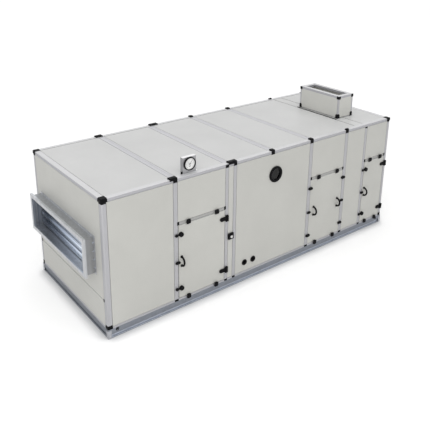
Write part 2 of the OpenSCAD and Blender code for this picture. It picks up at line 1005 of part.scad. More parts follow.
// Outline of a formed blade: two curved skins that meet at folded edges
module blade_outline() {
    skin_r = (blade_half * blade_half + blade_tube_r * blade_tube_r) / (2 * blade_tube_r);
    intersection() {
        translate([skin_r - blade_tube_r, 0])
            circle(skin_r);
        translate([blade_tube_r - skin_r, 0])
            circle(skin_r);
    }
    for (side = [-1, 1])
        translate([0, side * (blade_half - blade_t)])
            square([2 * blade_t, 2 * blade_t], center = true);
}

module damper_blade(i) {
    color(galvanised)
        in_frame()
            translate([blade_x, 0, blade_z(i)]) {
                along_y(mouth_y + blade_gap, blade_len)
                    blade_outline();
                rod_y([0, mouth_y - damper_t, 0], shaft_r, mouth_l + 2 * damper_t);
            }
}

module damper_blade_1() {
    damper_blade(0);
}

module damper_blade_2() {
    damper_blade(1);
}

module damper_blade_3() {
    damper_blade(2);
}

module damper_blade_4() {
    damper_blade(3);
}

// Block of the discharge box, inset from its outside, between two heights above the roof
module duct_block(inset, low, high) {
    block([duct_x + inset, duct_front + inset, z_roof + low],
        [duct_x + duct_w - inset, duct_front + duct_l - inset, z_roof + high]);
}

module discharge_frame() {
    wall_top = duct_h - rim_h;
    color(aluminium)
        in_frame() {
            difference() {
                union() {
                    duct_block(0, wall_top, duct_h);
                    duct_block(duct_foot_in, 0, duct_foot_h);
                }
                duct_block(rim_w, -1, duct_h + 1);
            }
            for (x = [duct_x, duct_x + duct_w - duct_wall_t])
                for (y = [duct_front, duct_front + duct_l - duct_wall_t])
                    block([x, y, z_roof + duct_foot_h],
                        [x + duct_wall_t, y + duct_wall_t, z_roof + wall_top]);
        }
}

module discharge_walls() {
    t = duct_wall_t;
    low = z_roof + duct_foot_h;
    high = z_roof + duct_h - rim_h;
    color(panel_grey)
        in_frame() {
            for (x = [duct_x, duct_x + duct_w - t])
                block([x, duct_front + t, low], [x + t, duct_front + duct_l - t, high]);
            for (y = [duct_front, duct_front + duct_l - t])
                block([duct_x + t, y, low], [duct_x + duct_w - t, y + t, high]);
        }
}

module discharge_caps() {
    color(plastic_black)
        in_frame()
            for (x = [0, duct_w], y = [0, duct_l], cap = [[duct_foot_h, duct_cap_low],
                    [duct_h - duct_cap_down - duct_cap_top, duct_cap_top]])
                translate([duct_x + x, duct_front + y, z_roof + cap[0]])
                    mirror([x > 0 ? 1 : 0, 0, 0])
                        mirror([0, y > 0 ? 1 : 0, 0])
                            difference() {
                                block([-cap_proud, -cap_proud, 0], [duct_cap, duct_cap, cap[1]]);
                                block([0, 0, -1], [duct_cap + 1, duct_cap + 1, cap[1] + 1]);
                            }
}

// A bow handle with its two feet, on a face at the origin
module bow_handle() {
    foot_r = bow_section_r + 4;
    foot_t = 4;
    rotate([90, 0, -90])
        rotate([0, 0, -90])
            rotate_extrude(angle = 180)
                translate([bow_r, 0])
                    circle(bow_section_r);
    for (z = [-bow_r, bow_r])
        rod_y([0, -foot_t, z], foot_r, foot_t);
}

// Outline of a bar with round ends, along and up
module capsule(from, to, h) {
    for (x = [from + h / 2, to - h / 2])
        translate([x, 0])
            circle(h / 2);
    translate([from + h / 2, -h / 2])
        square([to - from - h, h]);
}

// Outline of a square with rounded corners round the origin
module rounded_square(side, r) {
    inner = side / 2 - r;
    for (x = [-inner, inner], y = [-inner, inner])
        translate([x, y])
            circle(r);
    square([side, 2 * inner], center = true);
    square([2 * inner, side], center = true);
}

// A latch on a door's face at the origin, with an arm that reaches over the post
module side_latch(reach) {
    knob_t = 19;
    arm_t = 7;
    arm_h = 16;
    pad_r = 14;
    rod_y([0, -knob_t, 0], latch_r, knob_t);
    block([-reach, -latch_clear - arm_t, -arm_h / 2], [0, -latch_clear, arm_h / 2]);
    rod_y([-reach, -latch_clear - arm_t - 2, 0], pad_r, arm_t + 2);
}

// A lock beside a handle, drawn from the edge of the opening, whose bolt reaches over the post
module side_lock(reach, clear) {
    lock_h = 24;
    lock_t = 11;
    lock_in = 2 * latch_gap;
    along_y(-clear - lock_t, lock_t)
        capsule(-reach, lock_in, lock_h);
    block([latch_gap, -clear - 1, -lock_h / 4], [lock_in - 1, 0, lock_h / 4]);
}

// A clamp knob whose plate sits on the door's edge below it
module clamp_knob(plate) {
    knob_t = 9;
    plate_t = latch_clear + 4;
    plate_w = clamp_w * 0.6;
    foot_h = 8;
    block([-plate_w / 2, -plate_t, -plate], [plate_w / 2, -latch_clear, 0]);
    block([-plate_w / 2, -plate_t, -plate], [plate_w / 2, 0, foot_h - plate]);
    along_y(-plate_t - knob_t, knob_t)
        rounded_square(clamp_w, clamp_w / 5);
}

// The latches and the lock at the free side of a door
module latch_set(edge) {
    for (z = fitting_levels)
        translate([edge + latch_in, 0, z])
            side_latch(latch_in + post_w / 2);
    translate([edge, 0, z_bay + handle_h])
        side_lock(slim_post_w, latch_clear);
}

// The short latches and the lock at one side of the lift-off panel, side is 1 where the
// post is to the left
module access_latch_set(edge, side) {
    over_post = slim_post_w;
    over_panel = 24;
    latch_h = 28;
    latch_t = 14;
    translate([edge, 0, 0])
        mirror([side > 0 ? 0 : 1, 0, 0]) {
            for (z = fitting_levels)
                translate([0, 0, z])
                    along_y(-latch_t, latch_t)
                        capsule(-over_post, over_panel, latch_h);
            translate([0, 0, z_bay + handle_h])
                side_lock(over_post, 0);
        }
}

// The clamp knobs above and below a door
module clamp_set(start, w) {
    plate = bar_h / 2 + door_gap + 9;
    from_side = min(clamp_in, w / 4);
    for (x = [start + from_side, start + w - from_side]) {
        translate([x, 0, z_bar + bar_h / 2])
            clamp_knob(plate);
        translate([x, 0, z_bay - bottom_rail_h / 4])
            mirror([0, 0, 1])
                clamp_knob(plate - bar_h / 2 + bottom_rail_h / 4);
    }
}

module access_panel() {
    color(panel_grey)
        in_frame()
            bay_panel(x_access, access_bay_w, z_bay, z_bar);
}

module access_handles() {
    color(plastic_black)
        in_frame()
            for (x = [x_access + access_handle_in, x_post4 - access_handle_in])
                translate([x, 0, z_bay + handle_h])
                    bow_handle();
}

module access_latches() {
    color(plastic_black)
        in_frame() {
            access_latch_set(x_access, 1);
            access_latch_set(x_post4, -1);
            clamp_set(x_access, access_bay_w);
        }
}

// Height of the middle knuckle and its gaps
leaf_h = hinge_h - 2 * hinge_ear;
leaf_gap = 0.5;

// Hinge block on a post: two knuckles, the pin between them, and a body behind
module hinge_block() {
    plate_t = 2;
    plate_out = 22;
    body_in = knuckle_r + 2;
    for (z = [-hinge_h / 2, hinge_h / 2 - hinge_ear]) {
        translate([0, 0, z])
            cylinder(h = hinge_ear, r = knuckle_r);
        block([0, 0, z], [plate_out, pin_out, z + hinge_ear]);
    }
    translate([0, 0, -hinge_h / 2])
        cylinder(h = hinge_h, r = pin_r);
    block([1 - pin_in, pin_out - plate_t, -hinge_h / 2], [plate_out, pin_out, hinge_h / 2]);
    block([body_in, 2 - knuckle_r, -hinge_h / 2], [plate_out, pin_out, hinge_h / 2]);
}

// Outline of a tongue with a round free end, along and up
module tongue_outline(from, to, h) {
    translate([from + h / 2, 0])
        circle(h / 2);
    translate([from + h / 2, -h / 2])
        square([to - from - h / 2, h]);
}

// Hinge leaf on a door: the middle knuckle and a tongue on the door's face
module hinge_leaf() {
    h = leaf_h - 2 * leaf_gap;
    tongue_t = 6;
    door_edge = -pin_in - door_gap;
    difference() {
        union() {
            translate([0, 0, -h / 2])
                cylinder(h = h, r = knuckle_r);
            along_y(0, tongue_t)
                tongue_outline(door_edge - leaf_len, 0, h);
            along_y(0, pin_out)
                tongue_outline(door_edge - leaf_len, door_edge, h);
        }
        translate([0, 0, -h / 2 - 1])
            cylinder(h = h + 2, r = pin_r + pin_clear);
    }
}

module hinge_blocks() {
    color(plastic_black)
        in_frame()
            for (x = [x_post2a, x_corner], z = fitting_levels)
                translate([x + pin_in, -pin_out, z])
                    hinge_block();
}

// A hinged door in the bay from start to end
module door_panel(start, end) {
    color(panel_grey)
        in_frame()
            block([start + latch_gap, 0, z_bay + door_gap], [end - door_gap, door_t, z_bar - door_gap]);
}

module door_handle(start) {
    color(plastic_black)
        in_frame()
            translate([start + latch_in + latch_gap, 0, z_bay + handle_h])
                bow_handle();
}

module door_latches(start, w) {
    color(plastic_black)
        in_frame() {
            latch_set(start);
            clamp_set(start, w);
        }
}

module door_hinge_leaves(end) {
    color(plastic_black)
        in_frame()
            for (z = fitting_levels)
                translate([end + pin_in, -pin_out, z])
                    hinge_leaf();
}

module door_1_panel() {
    door_panel(x_filter, x_post2a);
}

module door_1_handle() {
    door_handle(x_filter);
}

module door_1_latches() {
    door_latches(x_filter, filter_bay_w);
}

module door_1_hinge_leaves() {
    door_hinge_leaves(x_post2a);
}

module door_3_panel() {
    door_panel(x_fan, x_corner);
}

module door_3_handle() {
    door_handle(x_fan);
}

module door_3_latches() {
    door_latches(x_fan, fan_bay_w);
}

module door_3_hinge_leaves() {
    door_hinge_leaves(x_corner);
}

base_rails();
base_cross_members();
base_corner_brackets();
bottom_rails();
corner_posts();
front_posts();
back_posts();
top_rails();
roof_crossbars();
door_bars();
corner_caps();
rail_connectors();
floor_panels();
front_panels();
coil_panel();
roof_panels();
back_panels();
inlet_end_panels();
discharge_end_panel();
porthole_ring();
porthole_glass();
pipe_grommets();
isolator_switch();
isolator_knob();
gauge_bracket();
gauge();
damper_frame();
damper_blade_1();
damper_blade_2();
damper_blade_3();
damper_blade_4();
discharge_frame();
discharge_walls();
discharge_caps();
access_panel();
access_handles();
access_latches();
hinge_blocks();
door_1_panel();
door_1_handle();
door_1_latches();
door_1_hinge_leaves();
door_3_panel();
door_3_handle();
door_3_latches();
door_3_hinge_leaves();
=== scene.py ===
"""The looks of the air handling unit: camera, light, finishes and fine detail."""
import json
from math import cos, pi, radians, sin

import bmesh
import bpy
from mathutils import Matrix, Vector


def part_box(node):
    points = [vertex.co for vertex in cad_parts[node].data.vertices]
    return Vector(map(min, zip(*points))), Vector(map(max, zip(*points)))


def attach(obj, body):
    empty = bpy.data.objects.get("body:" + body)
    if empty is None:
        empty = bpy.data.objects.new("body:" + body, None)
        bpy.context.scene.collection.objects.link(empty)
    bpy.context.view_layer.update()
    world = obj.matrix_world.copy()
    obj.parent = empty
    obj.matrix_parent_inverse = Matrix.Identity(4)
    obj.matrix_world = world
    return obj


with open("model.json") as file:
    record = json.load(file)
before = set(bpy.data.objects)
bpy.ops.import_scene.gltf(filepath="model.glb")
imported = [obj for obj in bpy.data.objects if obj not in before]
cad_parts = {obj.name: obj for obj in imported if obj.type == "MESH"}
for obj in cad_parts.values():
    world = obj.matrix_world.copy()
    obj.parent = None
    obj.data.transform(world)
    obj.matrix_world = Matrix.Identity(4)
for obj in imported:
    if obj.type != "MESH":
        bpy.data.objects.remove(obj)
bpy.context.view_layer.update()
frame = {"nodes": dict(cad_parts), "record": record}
MM = 0.001


def put(name, data):
    """An object in the scene that shows a mesh, a lamp or a camera."""
    item = bpy.data.objects.new(name, data)
    bpy.context.collection.objects.link(item)
    return item


# Camera

# The photo's frame is square, and its optical axis runs above the middle
IMAGE_PX = 430
FOCAL_PX = 601.7
AXIS_PX = 130
SENSOR_MM = 36
CLIP_END = 200
CAMERA_AT = (-3.702, -4.569, 3.306)
CAMERA_AZIMUTH = -37.83
CAMERA_ELEVATION = 18.70
CAMERA_ROLL = 0.51


def place_camera():
    data = bpy.data.cameras.new("camera")
    data.sensor_width = SENSOR_MM
    data.lens = FOCAL_PX / IMAGE_PX * SENSOR_MM
    data.shift_y = AXIS_PX / IMAGE_PX - 0.5
    data.clip_end = CLIP_END
    turn = Matrix.Rotation(radians(CAMERA_AZIMUTH), 4, "Z")
    tilt = Matrix.Rotation(radians(90 - CAMERA_ELEVATION), 4, "X")
    roll = Matrix.Rotation(radians(CAMERA_ROLL), 4, "Z")
    camera = put("camera", data)
    camera.matrix_world = Matrix.Translation(CAMERA_AT) @ turn @ tilt @ roll
    bpy.context.scene.camera = camera


# Shader nodes

# Range in which most of a noise lies
NOISE_SPREAD = (0.3, 0.7)
# Rise of a face's normal on a wall and on a level face, between which the painted light of level
# faces comes in
WALL_TO_TOP = (0.15, 0.95)
WHITE = (1, 1, 1, 1)


def fill(tree, socket, value):
    """Links an output to a socket, or gives the socket a constant value."""
    if hasattr(value, "is_output"):
        tree.links.new(value, socket)
    else:
        socket.default_value = value


def add(tree, kind, settings=None, **sockets):
    """A node with its settings and socket values; an underscore stands for a space."""
    made = tree.nodes.new(kind)
    for name, value in (settings or {}).items():
        setattr(made, name, value)
    for name, value in sockets.items():
        fill(tree, made.inputs[name.replace("_", " ")], value)
    return made


def maths(tree, operation, first, second):
    """The result of an operation on two numbers or outputs."""
    made = add(tree, "ShaderNodeMath", {"operation": operation})
    fill(tree, made.inputs[0], first)
    fill(tree, made.inputs[1], second)
    return made.outputs["Value"]


def rgb(colour):
    return (*colour, 1.0)


def grey(level):
    return (level, level, level)


def shades(colour, *levels):
    """A colour at several levels of brightness."""
    return [[part * level for part in colour] for level in levels]


def start_material(name, **shader):
    """A material, its node tree and its principled shader with the given constant values."""
    material = bpy.data.materials.new(name)
    material.use_nodes = True
    tree = material.node_tree
    principled = tree.nodes["Principled BSDF"]
    connect(tree, principled, **shader)
    return material, tree, principled


def connect(tree, principled, **sockets):
    """Outputs or constant values for a shader's sockets."""
    for name, value in sockets.items():
        fill(tree, principled.inputs[name.replace("_", " ")], value)


def place_in_frame(tree, stretch=(1, 1, 1)):
    """Coordinates in metres in the object's own frame, stretched along its axes."""
    where = add(tree, "ShaderNodeTexCoord").outputs["Object"]
    return add(tree, "ShaderNodeMapping", Vector=where, Scale=stretch).outputs["Vector"]


def along(tree, axis):
    """Position along an axis of the object's own frame, in metres."""
    where = add(tree, "ShaderNodeTexCoord").outputs["Object"]
    return add(tree, "ShaderNodeSeparateXYZ", Vector=where).outputs[axis]


def noise(tree, where, scale, detail=3.0, roughness=0.55):
    made = add(tree, "ShaderNodeTexNoise", Vector=where, Scale=scale, Detail=detail,
               Roughness=roughness)
    return made.outputs["Fac"]


def between(tree, factor, low, high, spread=NOISE_SPREAD):
    """A number that runs from low to high as the factor crosses its spread."""
    made = add(tree, "ShaderNodeMapRange", Value=factor, From_Min=spread[0], From_Max=spread[1],
               To_Min=low, To_Max=high)
    return made.outputs["Result"]


def tones(tree, factor, dark, light, spread=NOISE_SPREAD):
    """A colour that runs from dark to light as the factor crosses its spread."""
    ramp = add(tree, "ShaderNodeValToRGB", Fac=factor)
    ends = ramp.color_ramp.elements
    ends[0].position, ends[1].position = spread
    ends[0].color, ends[1].color = rgb(dark), rgb(light)
    return ramp.outputs["Color"]


def steps(tree, position, stops):
    """A colour that follows pairs of position and colour."""
    first, last = stops[0][0], stops[-1][0]
    ramp = add(tree, "ShaderNodeValToRGB", Fac=between(tree, position, 0.0, 1.0, (first, last)))
    ends = ramp.color_ramp.elements
    while len(ends) < len(stops):
        ends.new(0.5)
    for end, (at, colour) in zip(ends, stops):
        end.position, end.color = (at - first) / (last - first), rgb(colour)
    return ramp.outputs["Color"]


def blend(tree, factor, low, high, mode="MIX"):
    """Two colours or colour outputs, blended by a factor."""
    made = add(tree, "ShaderNodeMix", {"data_type": "RGBA", "blend_type": mode})
    # The node has sockets of every type, and those of colours come late
    for socket, value in ((0, factor), (6, low), (7, high)):
        fill(tree, made.inputs[socket], value)
    return made.outputs[2]


def multiply(tree, *colours):
    """The product of colour outputs."""
    product = colours[0]
    for colour in colours[1:]:
        product = blend(tree, 1.0, product, colour, "MULTIPLY")
    return product


def painted_top_light(tree, wall, top):
    """A colour for walls that turns into another on level faces: painted light on faces that look
    up.
    """
    normal = add(tree, "ShaderNodeNewGeometry").outputs["Normal"]
    rise = add(tree, "ShaderNodeSeparateXYZ", Vector=normal).outputs["Z"]
    return blend(tree, between(tree, rise, 0.0, 1.0, WALL_TO_TOP), rgb(wall), rgb(top))


def bumps(tree, principled, *layers):
    """Bump from pairs of height and depth in metres, one over the other."""
    normal = None
    for height, depth in layers:
        made = add(tree, "ShaderNodeBump", Height=height, Distance=depth, Strength=1.0)
        if normal:
            tree.links.new(normal, made.inputs["Normal"])
        normal = made.outputs["Normal"]
    tree.links.new(normal, principled.inputs["Normal"])


# Kinds of material

def painted_sheet(name, wall, top, shade=None):
    """Coil-coated steel: faint clouds, slow waves and an orange-peel skin."""
    material, tree, shader = start_material(name, Specular_IOR_Level=0.4)
    where = place_in_frame(tree)
    clouds = tones(tree, noise(tree, where, scale=2.2, detail=4.0), grey(0.96), grey(1.03))
    speckle = tones(tree, noise(tree, where, scale=260.0, detail=2.0), grey(0.965), grey(1.0))
    # Level faces get painted light
    colour = painted_top_light(tree, wall, top)
    if shade:
        colour = multiply(tree, colour, shade(tree))
    gloss = between(tree, noise(tree, where, scale=9.0), low=0.36, high=0.50)
    connect(tree, shader, Base_Color=multiply(tree, colour, clouds, speckle), Roughness=gloss)
    waves, wave_depth = noise(tree, where, scale=2.6, detail=1.0), 0.004
    peel, peel_depth = noise(tree, where, scale=420.0, detail=2.0), 0.00006
    bumps(tree, shader, (waves, wave_depth), (peel, peel_depth))
    return material


def extruded(name, wall, top, axis):
    """Anodised aluminium with fine die lines along an axis."""
    material, tree, shader = start_material(name, Metallic=0.35, Specular_IOR_Level=0.3)
    lengthwise, crosswise = 0.6, 90.0
    stretch = [lengthwise if each == axis else crosswise for each in "XYZ"]
    lines = noise(tree, place_in_frame(tree, stretch), scale=6.0, detail=5.0, roughness=0.65)
    streaks = tones(tree, lines, grey(0.90), grey(1.0))
    clouds = noise(tree, place_in_frame(tree), scale=3.5)
    # Level faces get painted light
    connect(tree, shader, Base_Color=multiply(tree, painted_top_light(tree, wall, top), streaks),
            Roughness=between(tree, clouds, low=0.42, high=0.55))
    line_depth = 0.00005
    bumps(tree, shader, (lines, line_depth))
    return material


def galvanised(name, wall, top, spangle, rough, contrast, shade=None):
    """Galvanised steel: faint crystals and slow waves, under the painted light and shade a
    function draws.
    """
    material, tree, shader = start_material(name, Metallic=0.86)
    where = place_in_frame(tree)
    cells = add(tree, "ShaderNodeTexVoronoi", Vector=where, Scale=spangle)
    crystal = add(tree, "ShaderNodeSeparateColor", Color=cells.outputs["Color"]).outputs["Red"]
    flakes = tones(tree, crystal, grey(1 - contrast), grey(1 + contrast), (0.0, 1.0))
    # Level faces get painted light
    colour = multiply(tree, painted_top_light(tree, wall, top), flakes)
    if shade:
        colour = multiply(tree, colour, shade(tree))
    connect(tree, shader, Base_Color=colour,
            Roughness=between(tree, noise(tree, where, scale=7.0), *rough))
    waves, wave_depth = noise(tree, where, scale=3.0, detail=1.0), 0.002
    bumps(tree, shader, (waves, wave_depth))
    return material


def moulded(name, colour, rough=(0.38, 0.52), grain=700.0, depth=0.00012, specular=0.45):
    """Moulded plastic or rubber with a fine eroded grain and a slightly uneven gloss."""
    material, tree, shader = start_material(name, Specular_IOR_Level=specular)
    where = place_in_frame(tree)
    clouds = noise(tree, where, scale=22.0, detail=4.0)
    connect(tree, shader, Base_Color=tones(tree, clouds, *shades(colour, 0.8, 1.2)),
            Roughness=between(tree, clouds, *rough))
    bumps(tree, shader, (noise(tree, where, grain, 3.0), depth))
    return material


def switch_knob(name, pale, black, middle, radius):
    """A moulded knob whose face is pale within a radius of its middle, and black outside."""
    material, tree, shader = start_material(name, Specular_IOR_Level=0.3)
    where = place_in_frame(tree)
    # Distances are taken in the face's plane
    flat = add(tree, "ShaderNodeVectorMath", {"operation": "MULTIPLY"})
    fill(tree, flat.inputs[0], where)
    fill(tree, flat.inputs[1], (1, 0, 1))
    apart = add(tree, "ShaderNodeVectorMath", {"operation": "DISTANCE"})
    fill(tree, apart.inputs[0], flat.outputs["Vector"])
    fill(tree, apart.inputs[1], (middle[0], 0, middle[2]))
    soft = 0.0004
    ring = steps(tree, apart.outputs["Value"], [(radius - soft, pale), (radius + soft, black)])
    grain, grain_depth = noise(tree, where, scale=700.0, detail=3.0), 0.0001
    connect(tree, shader,
            Base_Color=multiply(tree, ring, tones(tree, grain, grey(0.94), grey(1.0))),
            Roughness=between(tree, grain, low=0.34, high=0.46))
    bumps(tree, shader, (grain, grain_depth))
    return material


def shade_tinted_glass(name, tint):
    """Glass with faint dust on it, tinted nearly black as painted shade of the unit's inside
    behind it.
    """
    material, tree, shader = start_material(name, Transmission_Weight=1.0, IOR=1.38)
    dust = noise(tree, place_in_frame(tree), scale=60.0, detail=6.0)
    connect(tree, shader, Base_Color=tones(tree, dust, *shades(tint, 0.96, 1.0)),
            Roughness=between(tree, dust, low=0.01, high=0.06))
    return material


# Shades over a material, drawn in the unit's frame: painted light and shade on the base frame's
# foot and the damper, and the bars' darker band

# Levels of the base frame's foot in metres, with its brightness there: a bright band of painted
# light above the lower lip
FOOT_PAINTED_SHADING = [(0.005, grey(0.9)), (0.007, grey(1.8)), (0.026, grey(1.8)), (0.032, grey(0.9)),
              (0.046, grey(0.95))]
# The base frame's ends, where its end rails begin, and their brightness, darker and without the
# painted band
FOOT_END_FROM, FOOT_END_TO, FOOT_END_TONE = 1.780, 1.790, 0.85
# Painted shade and reflection of the damper by the distance behind the unit's middle: painted
# light at its near end, blue-grey painted shade towards its far end
DAMPER_PAINTED_SHADING = [(-0.35, (1.20, 1.24, 1.32)), (-0.05, (0.72, 0.78, 0.88)), (0.20, (0.28, 0.33, 0.42)),
           (0.45, (0.18, 0.22, 0.29)), (0.56, (0.42, 0.46, 0.54))]
# Depth of the fold round the damper's mouth, and the way from its rim to the middle of its wall
DAMPER_FOLD, DAMPER_WALL_IN = 0.020, 0.0215
# Brightness of the damper's flange, its collar and its back flange, with painted shade on the
# collar recessed between them and a little on the back flange
FLANGE_TONE, COLLAR_TONE, BACK_TONE = 1.0, 0.66, 0.9
# Width over which the damper's fold turns dark into the collar's painted shade, and that of its
# back flange and the turn to it
FOLD_SOFT, BACK_FLANGE, BACK_SOFT = 0.002, 0.003, 0.003
# Stretch of the streaks left by rolling: across them, up the collar and along the blades
ROLL_ACROSS, ROLL_UP, ROLL_ALONG = 60.0, 0.6, 0.5
ROLL_SPREAD = (0.35, 0.65)
# Levels between which the bars over the doors turn from a darker grey to the panels' colour
BAR_FROM, BAR_TO, BAR_TONE = 0.874, 0.878, 0.69


def painted_foot_shading(tree):
    """The base frame's foot, with a band of painted light above its lower lip along the unit's
    sides.
    """
    ends, side = grey(1.0), grey(0.0)
    end = steps(tree, along(tree, "X"), [(-FOOT_END_TO, ends), (-FOOT_END_FROM, side),
                                         (FOOT_END_FROM, side), (FOOT_END_TO, ends)])
    bands = steps(tree, along(tree, "Z"), FOOT_PAINTED_SHADING)
    return blend(tree, end, bands, rgb(grey(FOOT_END_TONE)))


def painted_damper_shading(tree):
    """Blue-grey painted shade, deep at the damper's far end, turning into painted light at its
    near end.
    """
    return steps(tree, along(tree, "Y"), DAMPER_PAINTED_SHADING)


def inside_mouth(tree, low, high):
    """1 on faces within the damper's collar and behind its flange, and 0 outside: where the
    painted shade and reflection go.
    """
    soft = 0.0005
    inside = between(tree, along(tree, "X"), 0.0, 1.0, (low[0] + 2 * soft, low[0] + 4 * soft))
    for axis, i in (("Y", 1), ("Z", 2)):
        for sign, edge in ((1, low[i] + DAMPER_WALL_IN), (-1, high[i] - DAMPER_WALL_IN)):
            spread = (edge - sign * soft, edge + sign * soft)
            step = between(tree, along(tree, axis), 0.0, 1.0, spread)
            inside = maths(tree, "MINIMUM", inside, step)
    return inside


def collar_shade(tree):
    """Pale flanges, painted shade on the collar recessed between them, and painted shade and
    reflection inside the mouth.
    """
    low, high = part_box("damper_frame")
    front, back = low[0], high[0]
    flange, collar, rear = grey(FLANGE_TONE), grey(COLLAR_TONE), grey(BACK_TONE)
    outside = steps(tree, along(tree, "X"), [
        (front, flange), (front + DAMPER_FOLD, flange),
        (front + DAMPER_FOLD + FOLD_SOFT, collar), (back - BACK_FLANGE - BACK_SOFT, collar),
        (back - BACK_FLANGE, rear), (back, rear)])
    where = place_in_frame(tree, (ROLL_ACROSS, ROLL_ACROSS, ROLL_UP))
    rolled = tones(tree, noise(tree, where, scale=1.0), grey(0.86), grey(1.06), ROLL_SPREAD)
    return multiply(tree, blend(tree, inside_mouth(tree, low, high), outside, painted_damper_shading(tree)),
                    rolled)


def blade_shade(tree):
    """Rolling streaks along the blades, made strong as painted streaks of reflection, under the
    damper's painted shade and reflection.
    """
    where = place_in_frame(tree, (ROLL_ACROSS, ROLL_ALONG, ROLL_ACROSS))
    # Rolling marks deepened into painted streaks of reflection
    rolled = tones(tree, noise(tree, where, scale=1.0), grey(0.6), grey(1.25), ROLL_SPREAD)
    return multiply(tree, rolled, painted_damper_shading(tree))


def bar_shade(tree):
    """The bars over the doors are darker and grey but for their top edge."""
    return steps(tree, along(tree, "Z"), [(BAR_FROM, grey(BAR_TONE)), (BAR_TO, grey(1.0))])


def middle_of(node):
    low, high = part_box(node)
    return (low + high) / 2


# Finishes

# A top colour lighter than its wall colour is painted light on level faces
PAINT = painted_sheet("coated_panel", wall=(0.588, 0.586, 0.553), top=(0.670, 0.672, 0.668))
# The box wears the panels' paint made lighter: painted light
BOX_PAINT = painted_sheet("coated_box", wall=(0.655, 0.653, 0.617), top=(0.700, 0.702, 0.698))
BAR_PAINT = painted_sheet("coated_bar", wall=(0.588, 0.588, 0.572), top=(0.670, 0.672, 0.668),
                          shade=bar_shade)
# One aluminium in three copies made lighter and darker by their run: painted light and shade
RAIL_X = extruded("profile_lengthwise", wall=(0.50, 0.50, 0.525), top=(0.72, 0.72, 0.73),
                  axis="X")
RAIL_Y = extruded("profile_crosswise", wall=(0.47, 0.47, 0.495), top=(0.625, 0.625, 0.65),
                  axis="Y")
RAIL_Z = extruded("profile_upright", wall=(0.52, 0.52, 0.54), top=(0.66, 0.66, 0.67), axis="Z")
ZINC = galvanised("galvanised_steel", wall=(0.29, 0.31, 0.35), top=(0.46, 0.48, 0.52),
                  spangle=48.0, rough=(0.36, 0.50), contrast=0.06, shade=painted_foot_shading)
DAMPER_ZINC = galvanised("galvanised_sheet", wall=(0.60, 0.61, 0.63), top=(0.64, 0.66, 0.69),
                         spangle=60.0, rough=(0.30, 0.38), contrast=0.02, shade=collar_shade)
BLADE_ZINC = galvanised("galvanised_blades", wall=(0.66, 0.70, 0.76), top=(0.66, 0.70, 0.76),
                        spangle=60.0, rough=(0.18, 0.24), contrast=0.02, shade=blade_shade)
BRIGHT_ZINC = galvanised("bright_zinc_plate", wall=(0.52, 0.53, 0.56), top=(0.62, 0.63, 0.66),
                         spangle=160.0, rough=(0.26, 0.38), contrast=0.05)
PALE_ZINC = galvanised("pale_zinc_plate", wall=(0.42, 0.42, 0.43), top=(0.90, 0.90, 0.91),
                       spangle=160.0, rough=(0.30, 0.42), contrast=0.03)
BLACK = moulded("black_plastic", (0.007, 0.007, 0.008), specular=0.06)
RUBBER = moulded("rubber", (0.008, 0.008, 0.009), rough=(0.55, 0.75), grain=420.0, depth=0.0002,
                 specular=0.12)
PALE = moulded("pale_plastic", (0.80, 0.80, 0.79), rough=(0.30, 0.42), specular=0.4)
INK = moulded("dial_ink", (0.03, 0.03, 0.035), rough=(0.5, 0.6), specular=0.1)
KNOB = switch_knob("switch_knob", pale=(0.80, 0.80, 0.79), black=(0.008, 0.008, 0.009),
                   middle=middle_of("isolator_knob"), radius=0.0135)
GLASS = shade_tinted_glass("porthole_glass", (0.05, 0.058, 0.065))

FINISHES = {
    "panel": PAINT, "aluminium": RAIL_X, "galvanised": ZINC, "bright_zinc": BRIGHT_ZINC,
    "black_plastic": BLACK, "pale_plastic": PALE, "rubber": RUBBER, "glass": GLASS,
}
# Nodes whose finish differs from their slot's
SPECIAL_FINISHES = {
    "corner_posts": RAIL_Z, "front_posts": RAIL_Z, "back_posts": RAIL_Z,
    "roof_crossbars": RAIL_Y, "damper_frame": DAMPER_ZINC, "damper_blade_1": BLADE_ZINC,
    "damper_blade_2": BLADE_ZINC, "damper_blade_3": BLADE_ZINC, "damper_blade_4": BLADE_ZINC,
    "gauge_bracket": PALE_ZINC, "discharge_walls": BOX_PAINT, "door_bars": BAR_PAINT,
    "isolator_knob": KNOB,
}

# Width of the broken edges by slot, in millimetres
EDGES = {
    "panel": 1.2, "aluminium": 0.8, "galvanised": 0.7, "bright_zinc": 0.6,
    "black_plastic": 1.6, "pale_plastic": 1.2, "rubber": 1.5,
}
# Nodes with thin walls or covers, whose edges stay finer
FINE_EDGES = {"rail_connectors": 0.5, "discharge_caps": 0.5, "hinge_blocks": 0.8, "gauge": 1.0}
WELD_REACH = 0.00002
SHARP_FROM = 40


def break_edges(item, width):
    weld = item.modifiers.new("weld", "WELD")
    weld.merge_threshold = WELD_REACH
    bevel = item.modifiers.new("bevel", "BEVEL")
    bevel.width = width * MM
    bevel.segments = 2
    bevel.limit_method = "ANGLE"
    bevel.angle_limit = radians(SHARP_FROM)
    bevel.use_clamp_overlap = True


def finish_node(name, item, slot):
    """A CAD node's finish, with its sharp edges broken."""
    item.data.materials.clear()
    item.data.materials.append(SPECIAL_FINISHES.get(name, FINISHES[slot]))
    width = FINE_EDGES.get(name, EDGES.get(slot))
    if width:
        break_edges(item, width)


for part in frame["record"]["subparts"]:
    finish_node(part["node"], frame["nodes"][part["node"]], part["material_slot"])


# Detail pieces, with sizes in millimetres and places in metres

TO_FRONT, TO_BACK = (0, -1, 0), (0, 1, 0)
TO_INLET, TO_DISCHARGE = (-1, 0, 0), (1, 0, 0)
UP = (0, 0, 1)
# Rise from which a direction counts as up
STEEP = 0.9
# Least length left of a plate's corner inside its chamfer
LEAST = 0.01


